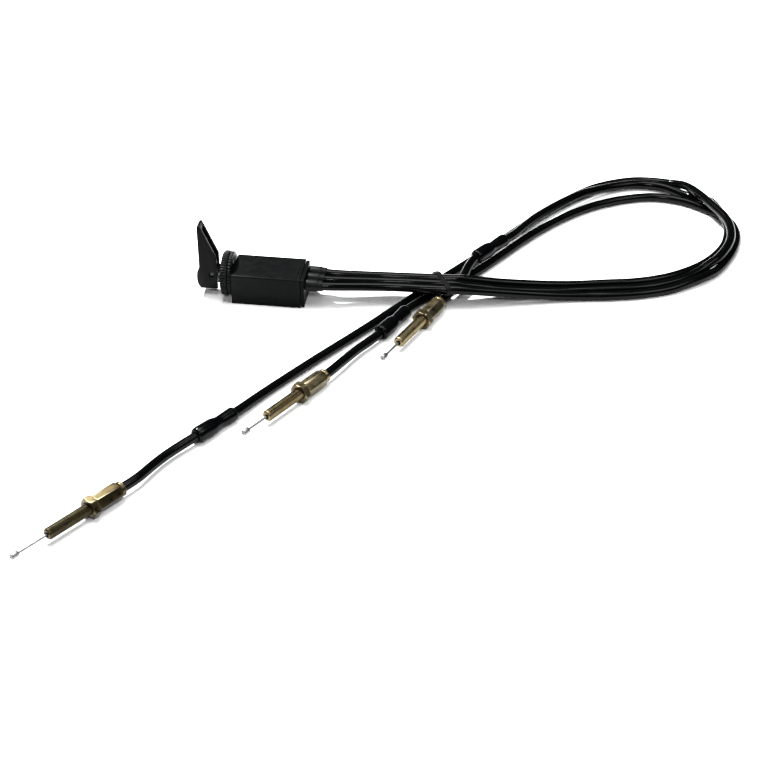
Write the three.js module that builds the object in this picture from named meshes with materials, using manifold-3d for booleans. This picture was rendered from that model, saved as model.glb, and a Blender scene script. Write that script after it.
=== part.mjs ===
// Flip-lever starter control with three Bowden cables, each ending in a threaded adjuster.
// Millimetres, +Z up. The origin is the centre of the housing's base face.
// +X runs from the lever to the cables.
import * as THREE from "three";
import Module from "manifold-3d";
import { mergeVertices } from "three/addons/utils/BufferGeometryUtils.js";

const wasm = await Module();
wasm.setup();

// Housing
const HOUSING_LENGTH = 38;
const HOUSING_WIDTH = 23;
const HOUSING_HEIGHT = 18;
const HOUSING_WALL = 1.5;
const FRONT_WALL = 3;
const FLOOR_WALL = 2;
const EDGE_RADIUS = 0.8;
const AXIS_Z = 12.6;
const FRONT_X = -HOUSING_LENGTH / 2;
const REAR_X = HOUSING_LENGTH / 2;
const NECK_D = 10.6;
const NECK_END_X = -25.2;
const NOSE_END_X = -27.8;
const NOSE_WIDTH = 5.4;
const NECK_BORE = 5.8;
const CAP_THICKNESS = 1.8;
const CAP_INSET = 0.5;
const GAP = 0.3;

// Panel nut and washer
const NUT_D = 24.6;
const NUT_FRONT_X = -25.2;
const NUT_REAR_X = -21.5;
const NUT_RIDGES = 36;
const WASHER_D = 24;
const WASHER_FRONT_X = -21.2;
const WASHER_REAR_X = -19.5;
const WASHER_RIDGES = 24;

// Lever, measured from its pin
const PIN_X = -31.3;
const PIN_D = 2.6;
const PIN_HOLE_D = 3.2;
const LEVER_WIDTH = 7.4;
const LEVER_TOP = 30.2;
const LEVER_BOTTOM = -8.9;
const LEVER_FRONT = -6.8;
const LEVER_BACK = 3.2;
const WEB_THICKNESS = 2.2;
const SKIRT_INNER = 3.0;
const RIB_INNER = 1.3;
const LEVER_TRAVEL = 5.7;
const CAM_RATE = LEVER_TRAVEL / (Math.PI / 2);

// Pull rod and carrier
const ROD_D = 5;
const ROD_HEAD_D = 6;
const TONGUE_THICKNESS = 2;
const CARRIER_FRONT_X = -9;
const CARRIER_REAR_X = 3;
const WIRE_PITCH = 6.8;
const WIRE_D = 1.4;
const NIPPLE_D = 3.6;

// Cables
const CONDUIT_D = 5;
const BOOT_D = 6.6;
const BOOT_TIP_D = 6.2;
const BOOT_START_X = REAR_X + 0.3 + CAP_THICKNESS + 0.3;
const BOOT_STEP_X = 28.2;
const BOOT_END_X = 31;
const SLEEVE_LENGTH = 26;

// Adjusters, measured from the threaded tip
const ADJUSTER_LENGTH = 45.2;
const THREAD_LENGTH = 28.5;
const THREAD_D = 6;
const HEX_ACROSS = 8;
const COLLAR_D = 7.6;
const COLLAR_LENGTH = 2.4;
const ADJUSTER_Z = 5.05;
const SOCKET_D = 5.7;
const SOCKET_DEPTH = 10;
const CORE_BORE = 2.4;
const JAM_ACROSS = 10;
const JAM_THICKNESS = 4;
const JAM_GAP = 0.3;
const TAIL_LENGTHS = [19, 15.5, 14.8];
const BARREL_D = 3.2;
const BARREL_LENGTH = 4;

const group = new THREE.Group();

function toSolid(geometry) {
  const g = geometry.clone();
  g.deleteAttribute("normal");
  g.deleteAttribute("uv");
  const merged = mergeVertices(g, 1e-4);
  return new wasm.Manifold(
    new wasm.Mesh({
      numProp: 3,
      vertProperties: new Float32Array(merged.attributes.position.array),
      triVerts: new Uint32Array(merged.index.array),
    }),
  );
}

function toGeometry(solid) {
  const mesh = solid.getMesh();
  const g = new THREE.BufferGeometry();
  g.setAttribute("position", new THREE.BufferAttribute(mesh.vertProperties, 3));
  g.setIndex(new THREE.BufferAttribute(mesh.triVerts, 1));
  g.computeVertexNormals();
  return g;
}

function add(name, geometry, colour, roughness, metalness) {
  const material = new THREE.MeshStandardMaterial({ color: colour, roughness, metalness });
  const mesh = new THREE.Mesh(geometry, material);
  mesh.name = name;
  group.add(mesh);
  return mesh;
}

// A box between two corners.
function box(x0, x1, y0, y1, z0, z1) {
  const g = new THREE.BoxGeometry(x1 - x0, y1 - y0, z1 - z0);
  g.translate((x0 + x1) / 2, (y0 + y1) / 2, (z0 + z1) / 2);
  return toSolid(g);
}

// A rod along X between x0 and x1.
function rodX(x0, x1, diameter, y, z, sides) {
  const g = new THREE.CylinderGeometry(diameter / 2, diameter / 2, x1 - x0, sides);
  g.rotateZ(-Math.PI / 2);
  g.translate((x0 + x1) / 2, y, z);
  return toSolid(g);
}

// A profile of [x, radius] points turned about the X axis.
function turnedX(profile, sides) {
  const points = profile.map(([x, r]) => new THREE.Vector2(r, x));
  const g = new THREE.LatheGeometry(points, sides);
  g.rotateZ(-Math.PI / 2);
  const solid = toSolid(g);
  return solid.volume() < 0 ? toSolid(turnedInsideOut(g)) : solid;
}

function turnedInsideOut(g) {
  const f = g.clone();
  f.index.array.reverse();
  return f;
}

// A hexagonal bar along X with two of its flats level, or turned by some degrees.
function hexX(x0, x1, across, degrees = 0) {
  const g = new THREE.CylinderGeometry(across / Math.sqrt(3), across / Math.sqrt(3), x1 - x0, 6);
  g.rotateZ(-Math.PI / 2);
  g.rotateX(Math.PI / 6 + (degrees * Math.PI) / 180);
  g.translate((x0 + x1) / 2, 0, 0);
  return toSolid(g);
}

// A flat plate: an outline in X and Z, thick from y0 to y1.
function plateXZ(points, y0, y1) {
  const shape = new THREE.Shape(points.map(([x, z]) => new THREE.Vector2(x, z)));
  const g = new THREE.ExtrudeGeometry(shape, { depth: y1 - y0, bevelEnabled: false });
  g.rotateX(Math.PI / 2);
  g.translate(0, y1, 0);
  return toSolid(g);
}

// An outline in Y and Z, thick from x0 to x1.
function plateYZ(shape, x0, x1) {
  const g = new THREE.ExtrudeGeometry(shape, { depth: x1 - x0, bevelEnabled: false });
  g.applyMatrix4(new THREE.Matrix4().set(0, 0, 1, x0, 1, 0, 0, 0, 0, 1, 0, 0, 0, 0, 0, 1));
  return toSolid(g);
}

function roundedRect(y0, y1, z0, z1, r) {
  const s = new THREE.Shape();
  s.moveTo(y0 + r, z0);
  s.lineTo(y1 - r, z0);
  s.absarc(y1 - r, z0 + r, r, -Math.PI / 2, 0, false);
  s.lineTo(y1, z1 - r);
  s.absarc(y1 - r, z1 - r, r, 0, Math.PI / 2, false);
  s.lineTo(y0 + r, z1);
  s.absarc(y0 + r, z1 - r, r, Math.PI / 2, Math.PI, false);
  s.lineTo(y0, z0 + r);
  s.absarc(y0 + r, z0 + r, r, Math.PI, 1.5 * Math.PI, false);
  return s;
}

// Housing shell: a hollow box open at the rear.
// The threaded neck and the flat-sided nose stand on its front wall.
const HALF_W = HOUSING_WIDTH / 2;
const CAVITY_Y = HALF_W - HOUSING_WALL;
const CAVITY_TOP = HOUSING_HEIGHT - FLOOR_WALL;
let shell = plateYZ(roundedRect(-HALF_W, HALF_W, 0, HOUSING_HEIGHT, EDGE_RADIUS), FRONT_X, REAR_X);
shell = shell.add(rodX(NECK_END_X, FRONT_X + 1, NECK_D, 0, AXIS_Z, 40));
const noseRound = rodX(NOSE_END_X, NECK_END_X + 1, NECK_D - 1.2, 0, AXIS_Z, 40);
const noseFlats = box(NOSE_END_X, NECK_END_X + 1, -NOSE_WIDTH / 2, NOSE_WIDTH / 2, 0, 30);
shell = shell.add(noseRound.intersect(noseFlats));
shell = shell.subtract(box(FRONT_X + FRONT_WALL, REAR_X + 1, -CAVITY_Y, CAVITY_Y, FLOOR_WALL, CAVITY_TOP));
shell = shell.subtract(rodX(NOSE_END_X - 1, FRONT_X + FRONT_WALL + 1, NECK_BORE, 0, AXIS_Z, 32));
add("housing_shell", toGeometry(shell), 0x1e2122, 0.55, 0);

// End cap: a flange behind the shell with a plug inside it, bored for the three cables.
const CAP_X = REAR_X + GAP;
const CAP_REAR_X = CAP_X + CAP_THICKNESS;
const CAP_Y = HALF_W - CAP_INSET;
const capOutline = roundedRect(-CAP_Y, CAP_Y, CAP_INSET, HOUSING_HEIGHT - CAP_INSET, EDGE_RADIUS);
let cap = plateYZ(capOutline, CAP_X, CAP_REAR_X);
const PLUG_Y = CAVITY_Y - GAP;
cap = cap.add(box(CAP_X - 3.3, CAP_X + 0.5, -PLUG_Y, PLUG_Y, FLOOR_WALL + GAP, CAVITY_TOP - GAP));
for (const side of [-1, 0, 1]) {
  cap = cap.subtract(rodX(CAP_X - 4, CAP_REAR_X + 1, 2, side * WIRE_PITCH, AXIS_Z, 16));
  cap = cap.subtract(rodX(CAP_X + 0.3, CAP_REAR_X + 1, SOCKET_D, side * WIRE_PITCH, AXIS_Z, 24));
}
add("end_cap", toGeometry(cap), 0x1c1f20, 0.5, 0);

// Ring with an even row of ridges round its rim.
function ridgedRing(x0, x1, diameter, bore, ridges, depth) {
  const s = new THREE.Shape();
  const count = ridges * 2;
  for (let i = 0; i < count; i++) {
    const a = (i / count) * 2 * Math.PI;
    const r = diameter / 2 - (i % 2) * depth;
    if (i === 0) s.moveTo(r * Math.cos(a), r * Math.sin(a));
    else s.lineTo(r * Math.cos(a), r * Math.sin(a));
  }
  s.closePath();
  const hole = new THREE.Path();
  hole.absarc(0, 0, bore / 2, 0, 2 * Math.PI, true);
  s.holes.push(hole);
  const g = new THREE.ExtrudeGeometry(s, { depth: x1 - x0, bevelEnabled: false, curveSegments: 18 });
  g.applyMatrix4(new THREE.Matrix4().set(0, 0, 1, x0, 1, 0, 0, 0, 0, 1, 0, AXIS_Z, 0, 0, 0, 1));
  return g;
}
const RING_BORE = NECK_D + 0.7;
add("panel_nut", ridgedRing(NUT_FRONT_X, NUT_REAR_X, NUT_D, RING_BORE, NUT_RIDGES, 0.45), 0x232627, 0.5, 0);
const washer = ridgedRing(WASHER_FRONT_X, WASHER_REAR_X, WASHER_D, RING_BORE, WASHER_RIDGES, 0.5);
add("lock_washer", washer, 0x2a2c2d, 0.6, 0);

// Lever: a web on its outer side and two cheeks, with cam ribs inside the cheeks that roll on the nose.
function atPin(points) {
  return points.map(([x, z]) => [x + PIN_X, z + AXIS_Z]);
}
const cheekOutline = [
  [LEVER_FRONT, LEVER_BOTTOM],
  [LEVER_BACK - 0.8, LEVER_BOTTOM],
  [LEVER_BACK - 0.2, LEVER_BOTTOM + 0.2],
  [LEVER_BACK, LEVER_BOTTOM + 0.8],
  [LEVER_BACK, 10.7],
  [-4.4, LEVER_TOP - 1.6],
  [-5.2, LEVER_TOP],
  [LEVER_FRONT + 0.4, LEVER_TOP],
  [LEVER_FRONT, LEVER_TOP - 0.4],
];
const ribOutline = [];
for (let i = 0; i <= 12; i++) {
  const turn = (1 - i / 12) * (Math.PI / 2);
  const reach = LEVER_BACK + CAM_RATE * turn;
  const x = reach * Math.cos(turn) - CAM_RATE * Math.sin(turn);
  const z = -reach * Math.sin(turn) - CAM_RATE * Math.cos(turn);
  ribOutline.push([x, z]);
}
ribOutline.push([LEVER_BACK, 5]);
ribOutline.push([1.5, 7.5]);
ribOutline.push([LEVER_FRONT + 1, 7.5]);
ribOutline.push([LEVER_FRONT + 1, LEVER_BOTTOM]);
const webOutline = [
  [LEVER_FRONT, LEVER_BOTTOM],
  [LEVER_FRONT + WEB_THICKNESS, LEVER_BOTTOM],
  [LEVER_FRONT + WEB_THICKNESS, LEVER_TOP - 1.8],
  [LEVER_FRONT + WEB_THICKNESS - 0.6, LEVER_TOP],
  [LEVER_FRONT + 0.4, LEVER_TOP],
  [LEVER_FRONT, LEVER_TOP - 0.4],
];
const heelOutline = [
  [LEVER_FRONT + 0.5, LEVER_BOTTOM + 0.3],
  [LEVER_FRONT + 0.5, 4.2],
  [-7.0, 3.4],
  [-8.2, 1.2],
  [-8.5, -1.6],
  [-8.5, -4.6],
  [-8.0, -6.8],
  [-6.9, -8.6],
];
const LEVER_Y = LEVER_WIDTH / 2;
const CHEEK_INNER = LEVER_Y - 1.3;
let lever = plateXZ(atPin(webOutline), -LEVER_Y, LEVER_Y);
lever = lever.add(plateXZ(atPin(heelOutline), -LEVER_Y + 0.5, LEVER_Y - 0.5));
const upperOnly = box(PIN_X - 12, PIN_X + 6, -5, 5, AXIS_Z + 7.5, AXIS_Z + 40);
for (const side of [-1, 1]) {
  const y = (a, b) => [Math.min(side * a, side * b), Math.max(side * a, side * b)];
  lever = lever.add(plateXZ(atPin(cheekOutline), ...y(SKIRT_INNER, LEVER_Y)));
  lever = lever.add(plateXZ(atPin(cheekOutline), ...y(CHEEK_INNER, LEVER_Y - 0.2)).intersect(upperOnly));
  lever = lever.add(plateXZ(atPin(ribOutline), ...y(RIB_INNER, SKIRT_INNER + 0.2)));
}
function pinBar(diameter, halfLength, sides) {
  const g = new THREE.CylinderGeometry(diameter / 2, diameter / 2, halfLength * 2, sides);
  g.translate(PIN_X, 0, AXIS_Z);
  return toSolid(g);
}
lever = lever.subtract(pinBar(PIN_HOLE_D, LEVER_Y + 1, 24));
add("lever", toGeometry(lever), 0x202324, 0.5, 0);
add("pivot_pin", toGeometry(pinBar(PIN_D, LEVER_Y - 0.1, 20)), 0x5c5f60, 0.35, 1);

// Pull rod: a round rod with a head at the rear and a flat tongue at the front that the pin passes through.
const TONGUE_START_X = PIN_X - 2.9;
const ROD_START_X = PIN_X + 10.3;
const HEAD_X = -7;
const HEAD_END_X = -4.4;
let rod = rodX(ROD_START_X, HEAD_X + 0.2, ROD_D, 0, AXIS_Z, 28);
rod = rod.add(rodX(HEAD_X, HEAD_END_X, ROD_HEAD_D, 0, AXIS_Z, 28));
const HALF_T = TONGUE_THICKNESS / 2;
const tongueOutline = [
  [TONGUE_START_X, AXIS_Z - 1.2],
  [TONGUE_START_X + 1.2, AXIS_Z - 2.4],
  [ROD_START_X + 1, AXIS_Z - 2.4],
  [ROD_START_X + 1, AXIS_Z + 2.4],
  [TONGUE_START_X + 1.2, AXIS_Z + 2.4],
  [TONGUE_START_X, AXIS_Z + 1.2],
];
rod = rod.add(plateXZ(tongueOutline, -HALF_T, HALF_T));
rod = rod.subtract(pinBar(PIN_HOLE_D, LEVER_Y, 24));
add("pull_rod", toGeometry(rod), 0x9a9c9d, 0.35, 1);

// Carrier: a block with drop-in slots for the rod's head and the three wire nipples.
const CARRIER_Y = CAVITY_Y - 0.4;
const CARRIER_TOP = CAVITY_TOP - 0.4;
let carrier = box(CARRIER_FRONT_X, CARRIER_REAR_X, -CARRIER_Y, CARRIER_Y, 8.4, CARRIER_TOP);
function dropSlot(x0, x1, diameter, y) {
  const half = diameter / 2;
  return rodX(x0, x1, diameter, y, AXIS_Z, 24).add(box(x0, x1, y - half, y + half, AXIS_Z, CARRIER_TOP + 1));
}
carrier = carrier.subtract(dropSlot(CARRIER_FRONT_X - 1, HEAD_X - 0.3, ROD_D + 0.6, 0));
carrier = carrier.subtract(dropSlot(HEAD_X - 0.4, HEAD_END_X + 0.3, ROD_HEAD_D + 0.6, 0));
const NIPPLE_X = -2.3;
const NIPPLE_END_X = 1.3;
for (const side of [-1, 0, 1]) {
  carrier = carrier.subtract(dropSlot(NIPPLE_X - 0.3, NIPPLE_END_X + 0.3, NIPPLE_D + 0.6, side * WIRE_PITCH));
  carrier = carrier.subtract(dropSlot(NIPPLE_END_X, CARRIER_REAR_X + 1, WIRE_D + 0.6, side * WIRE_PITCH));
}
add("cable_carrier", toGeometry(carrier), 0xd8d6cc, 0.5, 0);

// Cables 1, 2 and 3 leave the cap in the middle, at the front and at the rear.
const LANES = [0, -1, 1];
const CONDUIT_START_X = CAP_X + 0.6;
LANES.forEach((lane, i) => {
  const y = lane * WIRE_PITCH;
  const wire = rodX(NIPPLE_END_X - 0.2, CONDUIT_START_X - 0.3, WIRE_D, y, AXIS_Z, 12);
  const nipple = rodX(NIPPLE_X, NIPPLE_END_X, NIPPLE_D, y, AXIS_Z, 20);
  add("pull_wire_" + (i + 1), toGeometry(nipple.add(wire)), 0xb8babb, 0.35, 1);
  const boot = turnedX(
    [
      [BOOT_START_X, SOCKET_D / 2],
      [BOOT_START_X, BOOT_D / 2 - 0.2],
      [BOOT_START_X + 0.6, BOOT_D / 2],
      [BOOT_STEP_X - 1.2, BOOT_D / 2],
      [BOOT_STEP_X, BOOT_TIP_D / 2 + 0.08],
      [BOOT_END_X - 0.6, BOOT_TIP_D / 2],
      [BOOT_END_X, BOOT_TIP_D / 2 - 0.25],
      [BOOT_END_X, SOCKET_D / 2],
      [BOOT_START_X, SOCKET_D / 2],
    ],
    24,
  ).translate([0, y, AXIS_Z]);
  add("cable_boot_" + (i + 1), toGeometry(boot), 0x1d1f20, 0.45, 0);
});

// Each route runs from the end cap to its adjuster: [x, y, height].
const ROUTES = [
  [
    [19.9, 0, 12.6], [28, 0, 12.6], [34.9, 0.2, 12.4], [62, 4.8, 10.8], [77, 5.9, 10.8],
    [99.6, 6.3, 11.05], [116.9, 9.5, 8.5], [126.7, 11.7, 6.5], [157.7, 19.6, 2.9], [176.9, 23.7, 2.6],
    [206.2, 30.7, 2.6], [222.4, 39, 2.7], [234.6, 48.6, 3.9], [241.2, 54.9, 6], [245.7, 59.7, 7.3],
    [251.6, 72.8, 9], [252.9, 83.3, 10], [250.6, 95.9, 11.1], [241, 114.3, 11], [231.7, 132.4, 8.7],
    [226.4, 141.2, 6.3], [219.2, 146.8, 3.7], [207.4, 149.7, 2.65], [195.1, 148.3, 2.6],
    [175.1, 138.1, 2.6], [157.6, 120.3, 2.6], [142.3, 100.5, 2.6], [134.5, 87.7, 2.6],
    [108.9, 47.6, 2.6], [80.9, 6.2, 2.6], [57.7, -29.5, 2.6], [35.1, -62.5, 2.65], [14.6, -93.8, 2.8],
    [3.4, -113.6, 3.9], [-9.1, -132.1, 4.4], [-21.8, -150.2, 4.1], [-26.5, -159.2, 4.4],
    [-31.6, -171, 5], [-34.9, -176.5, 5.05], [-37.5, -180.2, 5.05],
  ],
  [
    [19.9, -6.8, 12.6], [28, -6.8, 12.6], [34.9, -6.2, 12.4], [54.5, -2, 11.2], [69.3, 0.1, 10.8],
    [86.9, 0.5, 11], [104.3, 1.6, 10.9], [138.1, 9.2, 6.3], [155, 13.5, 3.9], [171.9, 17, 2.7],
    [186.8, 19.4, 2.6], [206.1, 24.5, 2.6], [219.6, 30.5, 2.7], [229.2, 37.1, 3.5], [238.6, 44.9, 3.7],
    [245.3, 53.4, 2.8], [253.7, 72.7, 2.6], [256.9, 87.3, 2.6], [256.7, 97.3, 2.6], [253.9, 106.8, 2.6],
    [248, 114.7, 2.6], [242, 119.3, 2.6], [227.1, 128.2, 2.6], [210.1, 130.9, 2.6], [193.3, 126.5, 2.6],
    [175.8, 116.8, 2.6], [160.7, 103.7, 2.6], [141.6, 80.6, 2.6], [122.6, 51.2, 2.6],
    [114.6, 38.6, 2.6], [99.7, 18.6, 2.65], [86.4, 3.4, 2.8], [78.6, -9.3, 3.9], [72.3, -23, 4.4],
    [68.2, -31.9, 4.4], [61, -44.3, 4.1], [57.1, -50.6, 4.2], [51.2, -62.5, 4.7], [45.5, -74.3, 5.05],
    [43.2, -78, 5.05],
  ],
  [
    [19.9, 6.8, 12.6], [28, 6.8, 12.6], [34.9, 6.5, 12.4], [64.5, 10.5, 10.7],
    [87.1, 11.4, 11], [99.6, 11.7, 11.05], [104.6, 12.4, 11.1], [124.1, 16.5, 7.9], [152.8, 24.1, 3.8],
    [167, 27.7, 2.7], [181.5, 31, 2.6], [198.6, 34.7, 2.6], [210.3, 38.9, 2.6], [221.3, 44.8, 2.6],
    [234.8, 55.9, 2.65], [243.9, 67.9, 2.7], [250.4, 82.1, 3.6], [251.5, 97.5, 5.9], [244.4, 117.3, 7.9],
    [240.7, 124, 6.8], [233.9, 131.6, 3.8], [227.7, 136, 2.6], [214.5, 142.7, 3.3], [199.8, 143.7, 3.4],
    [186, 138.8, 3.7], [173.8, 130.5, 4.7], [166.4, 123.8, 5.6], [153.8, 108.8, 6.3],
    [142.2, 91.9, 7.1], [137.2, 82.8, 7.5], [129.4, 66.6, 8.6], [123.2, 58.2, 8.7], [116.7, 48.8, 8.7],
    [110.4, 39.2, 8.8], [107.3, 30.3, 8.5], [104.9, 20.4, 7.2], [102.2, 13, 5.5], [99.2, 7, 5.1],
    [96.7, 1.7, 5.05], [94.7, -2.9, 5.05],
  ],
];

// Adjuster hex ends and the directions from there to the threaded tips.
const HEX_ENDS = [
  [-37.5, -180.2],
  [43.2, -78],
  [94.7, -2.9],
];
const HEADINGS = [235.3, 238.8, 246.7].map((d) => (d * Math.PI) / 180);

// A curve down each route that ends straight inside the adjuster's socket.
const SOCKET_FILL = 8;
const curves = ROUTES.map((route, i) => {
  const points = route.map((p) => new THREE.Vector3(...p));
  const [x, y] = HEX_ENDS[i];
  const dx = Math.cos(HEADINGS[i]);
  const dy = Math.sin(HEADINGS[i]);
  points.push(new THREE.Vector3(x + dx * SOCKET_FILL, y + dy * SOCKET_FILL, ADJUSTER_Z));
  return new THREE.CatmullRomCurve3(points);
});

const CONDUIT_STEPS = [78, 66, 66];
curves.forEach((curve, i) => {
  const section = new THREE.Shape();
  for (let k = 0; k < 10; k++) {
    const a = (k / 10) * 2 * Math.PI;
    const x = (CONDUIT_D / 2) * Math.cos(a);
    const y = (CONDUIT_D / 2) * Math.sin(a);
    if (k === 0) section.moveTo(x, y);
    else section.lineTo(x, y);
  }
  section.closePath();
  const g = new THREE.ExtrudeGeometry(section, { steps: CONDUIT_STEPS[i], extrudePath: curve });
  add("conduit_" + (i + 1), g, 0x131415, 0.3, 0);
});

// Turned or hexagonal pieces are made along X and then laid along a cable.
function layAlong(solid, origin, direction) {
  const x = direction.clone().normalize();
  const y = new THREE.Vector3(0, 0, 1).cross(x).normalize();
  const z = x.clone().cross(y);
  const m = new THREE.Matrix4().makeBasis(x, y, z).setPosition(origin);
  const g = toGeometry(solid);
  g.applyMatrix4(m);
  return g;
}

// Sleeves: thick at the end nearer the adjuster, then a waist and a slightly wider lip.
const SLEEVE_SPOTS = [
  [[-11.9, -136.2, 4.5], [2.8, -114.7, 4.03]],
  [[66.2, -36.2, 4.46], [77.1, -12.6, 4.13]],
  [[110.2, 38.9, 8.8], [123.2, 58.2, 8.7]],
];
const SLEEVE_BORE_R = 2.85;
const SLEEVE_PROFILE = [
  [0, SLEEVE_BORE_R],
  [0, 3.1],
  [0.6, 3.8],
  [2, 4.15],
  [5, 4.25],
  [11, 4.2],
  [13.5, 3.7],
  [15.8, 3.3],
  [18, 3.4],
  [24, 3.7],
  [25.6, 3.75],
  [26, 3.5],
  [26, SLEEVE_BORE_R],
  [0, SLEEVE_BORE_R],
];
SLEEVE_SPOTS.forEach(([a, b], i) => {
  const from = new THREE.Vector3(...a);
  const along = new THREE.Vector3(...b).sub(from);
  add("sleeve_" + (i + 1), layAlong(turnedX(SLEEVE_PROFILE, 20), from, along), 0x101112, 0.2, 0);
});

// Cable tie pulled slantwise round the three cables, with its head low on the far side.
const TIE_CENTRE = new THREE.Vector3(95.1, 6.4, 11.05);
const TIE_DIRECTION = new THREE.Vector3(0.9, 0.436, 0);
const TIE_INNER_Y = 9.2;
const TIE_INNER_Z = 2.7;
const TIE_WALL = 0.55;
const TIE_OUTER_Y = TIE_INNER_Y + TIE_WALL;
const TIE_OUTER_Z = TIE_INNER_Z + TIE_WALL;
const tieOuter = roundedRect(-TIE_OUTER_Y, TIE_OUTER_Y, -TIE_OUTER_Z, TIE_OUTER_Z, TIE_OUTER_Z - 0.05);
const tieInner = roundedRect(-TIE_INNER_Y, TIE_INNER_Y, -TIE_INNER_Z, TIE_INNER_Z, TIE_INNER_Z - 0.05);
let tie = plateYZ(tieOuter, -1.25, 1.25);
tie = tie.subtract(plateYZ(tieInner, -2, 2));
tie = tie.add(box(-2, 2, 9.4, 12.1, -3.1, 0.7));
tie = tie.add(box(-1.25, 1.25, 10.15, 11.15, 0.2, 1.6));
add("cable_tie", layAlong(tie, TIE_CENTRE, TIE_DIRECTION), 0x17191a, 0.5, 0);

// Adjusters with their jam nuts, and the wire tails with their end barrels.
// Each hexagon lies turned by its own angle; the jam nuts lie on a flat.
const HEX_TURNS = [0, -17, -6];
HEX_ENDS.forEach(([hx, hy], i) => {
  const n = i + 1;
  const out = new THREE.Vector3(Math.cos(HEADINGS[i]), Math.sin(HEADINGS[i]), 0);
  const tip = new THREE.Vector3(hx, hy, ADJUSTER_Z).addScaledVector(out, ADJUSTER_LENGTH);
  const inward = out.clone().negate();

  let adjuster = rodX(0.6, THREAD_LENGTH + 0.5, THREAD_D, 0, 0, 24);
  adjuster = adjuster.add(rodX(0, 1, THREAD_D - 1, 0, 0, 24));
  adjuster = adjuster.add(hexX(THREAD_LENGTH, ADJUSTER_LENGTH - COLLAR_LENGTH, HEX_ACROSS, HEX_TURNS[i]));
  adjuster = adjuster.add(rodX(ADJUSTER_LENGTH - COLLAR_LENGTH - 0.2, ADJUSTER_LENGTH, COLLAR_D, 0, 0, 24));
  adjuster = adjuster.subtract(rodX(-1, ADJUSTER_LENGTH, CORE_BORE, 0, 0, 16));
  adjuster = adjuster.subtract(rodX(ADJUSTER_LENGTH - SOCKET_DEPTH, ADJUSTER_LENGTH + 1, SOCKET_D, 0, 0, 24));
  add("adjuster_" + n, layAlong(adjuster, tip, inward), 0x9c8a55, 0.35, 1);

  const nutStart = THREAD_LENGTH - JAM_GAP - JAM_THICKNESS;
  let nut = hexX(nutStart, nutStart + JAM_THICKNESS, JAM_ACROSS);
  nut = nut.subtract(rodX(nutStart - 1, nutStart + JAM_THICKNESS + 1, THREAD_D + 0.6, 0, 0, 24));
  add("jam_nut_" + n, layAlong(nut, tip, inward), 0xa08d58, 0.35, 1);

  const tail = TAIL_LENGTHS[i];
  add("wire_tail_" + n, layAlong(rodX(-tail, 9, WIRE_D, 0, 0, 12), tip, inward), 0xb9bbbc, 0.35, 1);
  let barrel = rodX(-tail - 1.6, -tail + BARREL_LENGTH - 1.6, BARREL_D, 0, 0, 20);
  barrel = barrel.subtract(rodX(-tail - 0.3, -tail + BARREL_LENGTH, WIRE_D + 0.6, 0, 0, 16));
  add("barrel_" + n, layAlong(barrel, tip, inward), 0xc2c2bd, 0.35, 1);
});

export default group;
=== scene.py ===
import math

import bmesh
import bpy
from mathutils import Matrix, Vector


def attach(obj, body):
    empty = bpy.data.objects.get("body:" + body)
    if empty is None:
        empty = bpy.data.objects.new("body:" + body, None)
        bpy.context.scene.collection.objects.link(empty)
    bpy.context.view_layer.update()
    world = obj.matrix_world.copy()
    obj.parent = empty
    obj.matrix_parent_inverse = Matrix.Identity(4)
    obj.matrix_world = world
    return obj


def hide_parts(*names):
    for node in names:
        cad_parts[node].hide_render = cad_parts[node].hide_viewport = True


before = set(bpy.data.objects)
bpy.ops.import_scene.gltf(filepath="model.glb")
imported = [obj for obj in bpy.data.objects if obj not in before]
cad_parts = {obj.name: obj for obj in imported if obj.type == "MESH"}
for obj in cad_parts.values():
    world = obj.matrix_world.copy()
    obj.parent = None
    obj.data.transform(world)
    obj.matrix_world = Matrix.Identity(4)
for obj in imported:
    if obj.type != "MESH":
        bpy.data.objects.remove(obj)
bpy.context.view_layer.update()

MM = 0.001
SCENE = bpy.context.scene

# Housing and lever, in millimetres, as in the CAD part.
AXIS_Z = 12.6
PIN_X = -31.3
NUT_FRONT_X = -25.2
NUT_REAR_X = -21.5
WASHER_FRONT_X = -21.2
WASHER_REAR_X = -19.5
NUT_D = 24.6
NUT_RIDGES = 54
NUT_RIDGE_DEPTH = 0.5
NUT_CHAMFER = 0.55
WASHER_D = 24.0
WASHER_RIDGES = 40
WASHER_RIDGE_DEPTH = 0.45
WASHER_CHAMFER = 0.4
RING_BORE = 11.3
RING_BORE_CHAMFER = 0.3
PIN_HALF_LENGTH = 2.9
PIN_SHOULDER = 2.75
PIN_R = 1.3
PIN_EDGE = 0.2
WIRE_PITCH = 6.8
LANES = (0, -1, 1)

# Cables and their ends, in millimetres.
CONDUIT_D = 5.0
SOCKET_D = 5.7
WIRE_D = 1.4
WIRE_INSIDE = 9.0
STRANDS = 6
STRAND_LAY = 9.0
STRAND_GROOVE = 0.17
ADJUSTER_LENGTH = 45.2
THREAD_LENGTH = 28.5
THREAD_D = 6.0
THREAD_PITCH = 1.0
HEX_ACROSS = 8.0
COLLAR_LENGTH = 2.4
COLLAR_D = 7.6
CORE_BORE = 2.4
SOCKET_DEPTH = 10.0
JAM_ACROSS = 10.0
JAM_THICKNESS = 4.0
JAM_GAP = 0.3
ADJUSTER_Z = 5.05
SOCKET_FILL = 8.0
CORNER_R = 4.66
CORNER_MID_R = 4.25
CORNER_END_R = 3.95
JAM_CORNER_R = 5.8
JAM_CORNER_MID_R = 5.3
JAM_CORNER_END_R = 4.95
JAM_BORE_R = 3.3
JAM_MOUTH_R = 3.75
TAIL_LENGTHS = (19.0, 15.5, 14.8)
HEX_TURNS = tuple(math.radians(d) for d in (0.0, -17.0, -6.0))
BARREL_D = 3.2
BARREL_LENGTH = 4.0
BARREL_PAST_WIRE = 1.6
BARREL_BORE_R = 0.5
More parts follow.
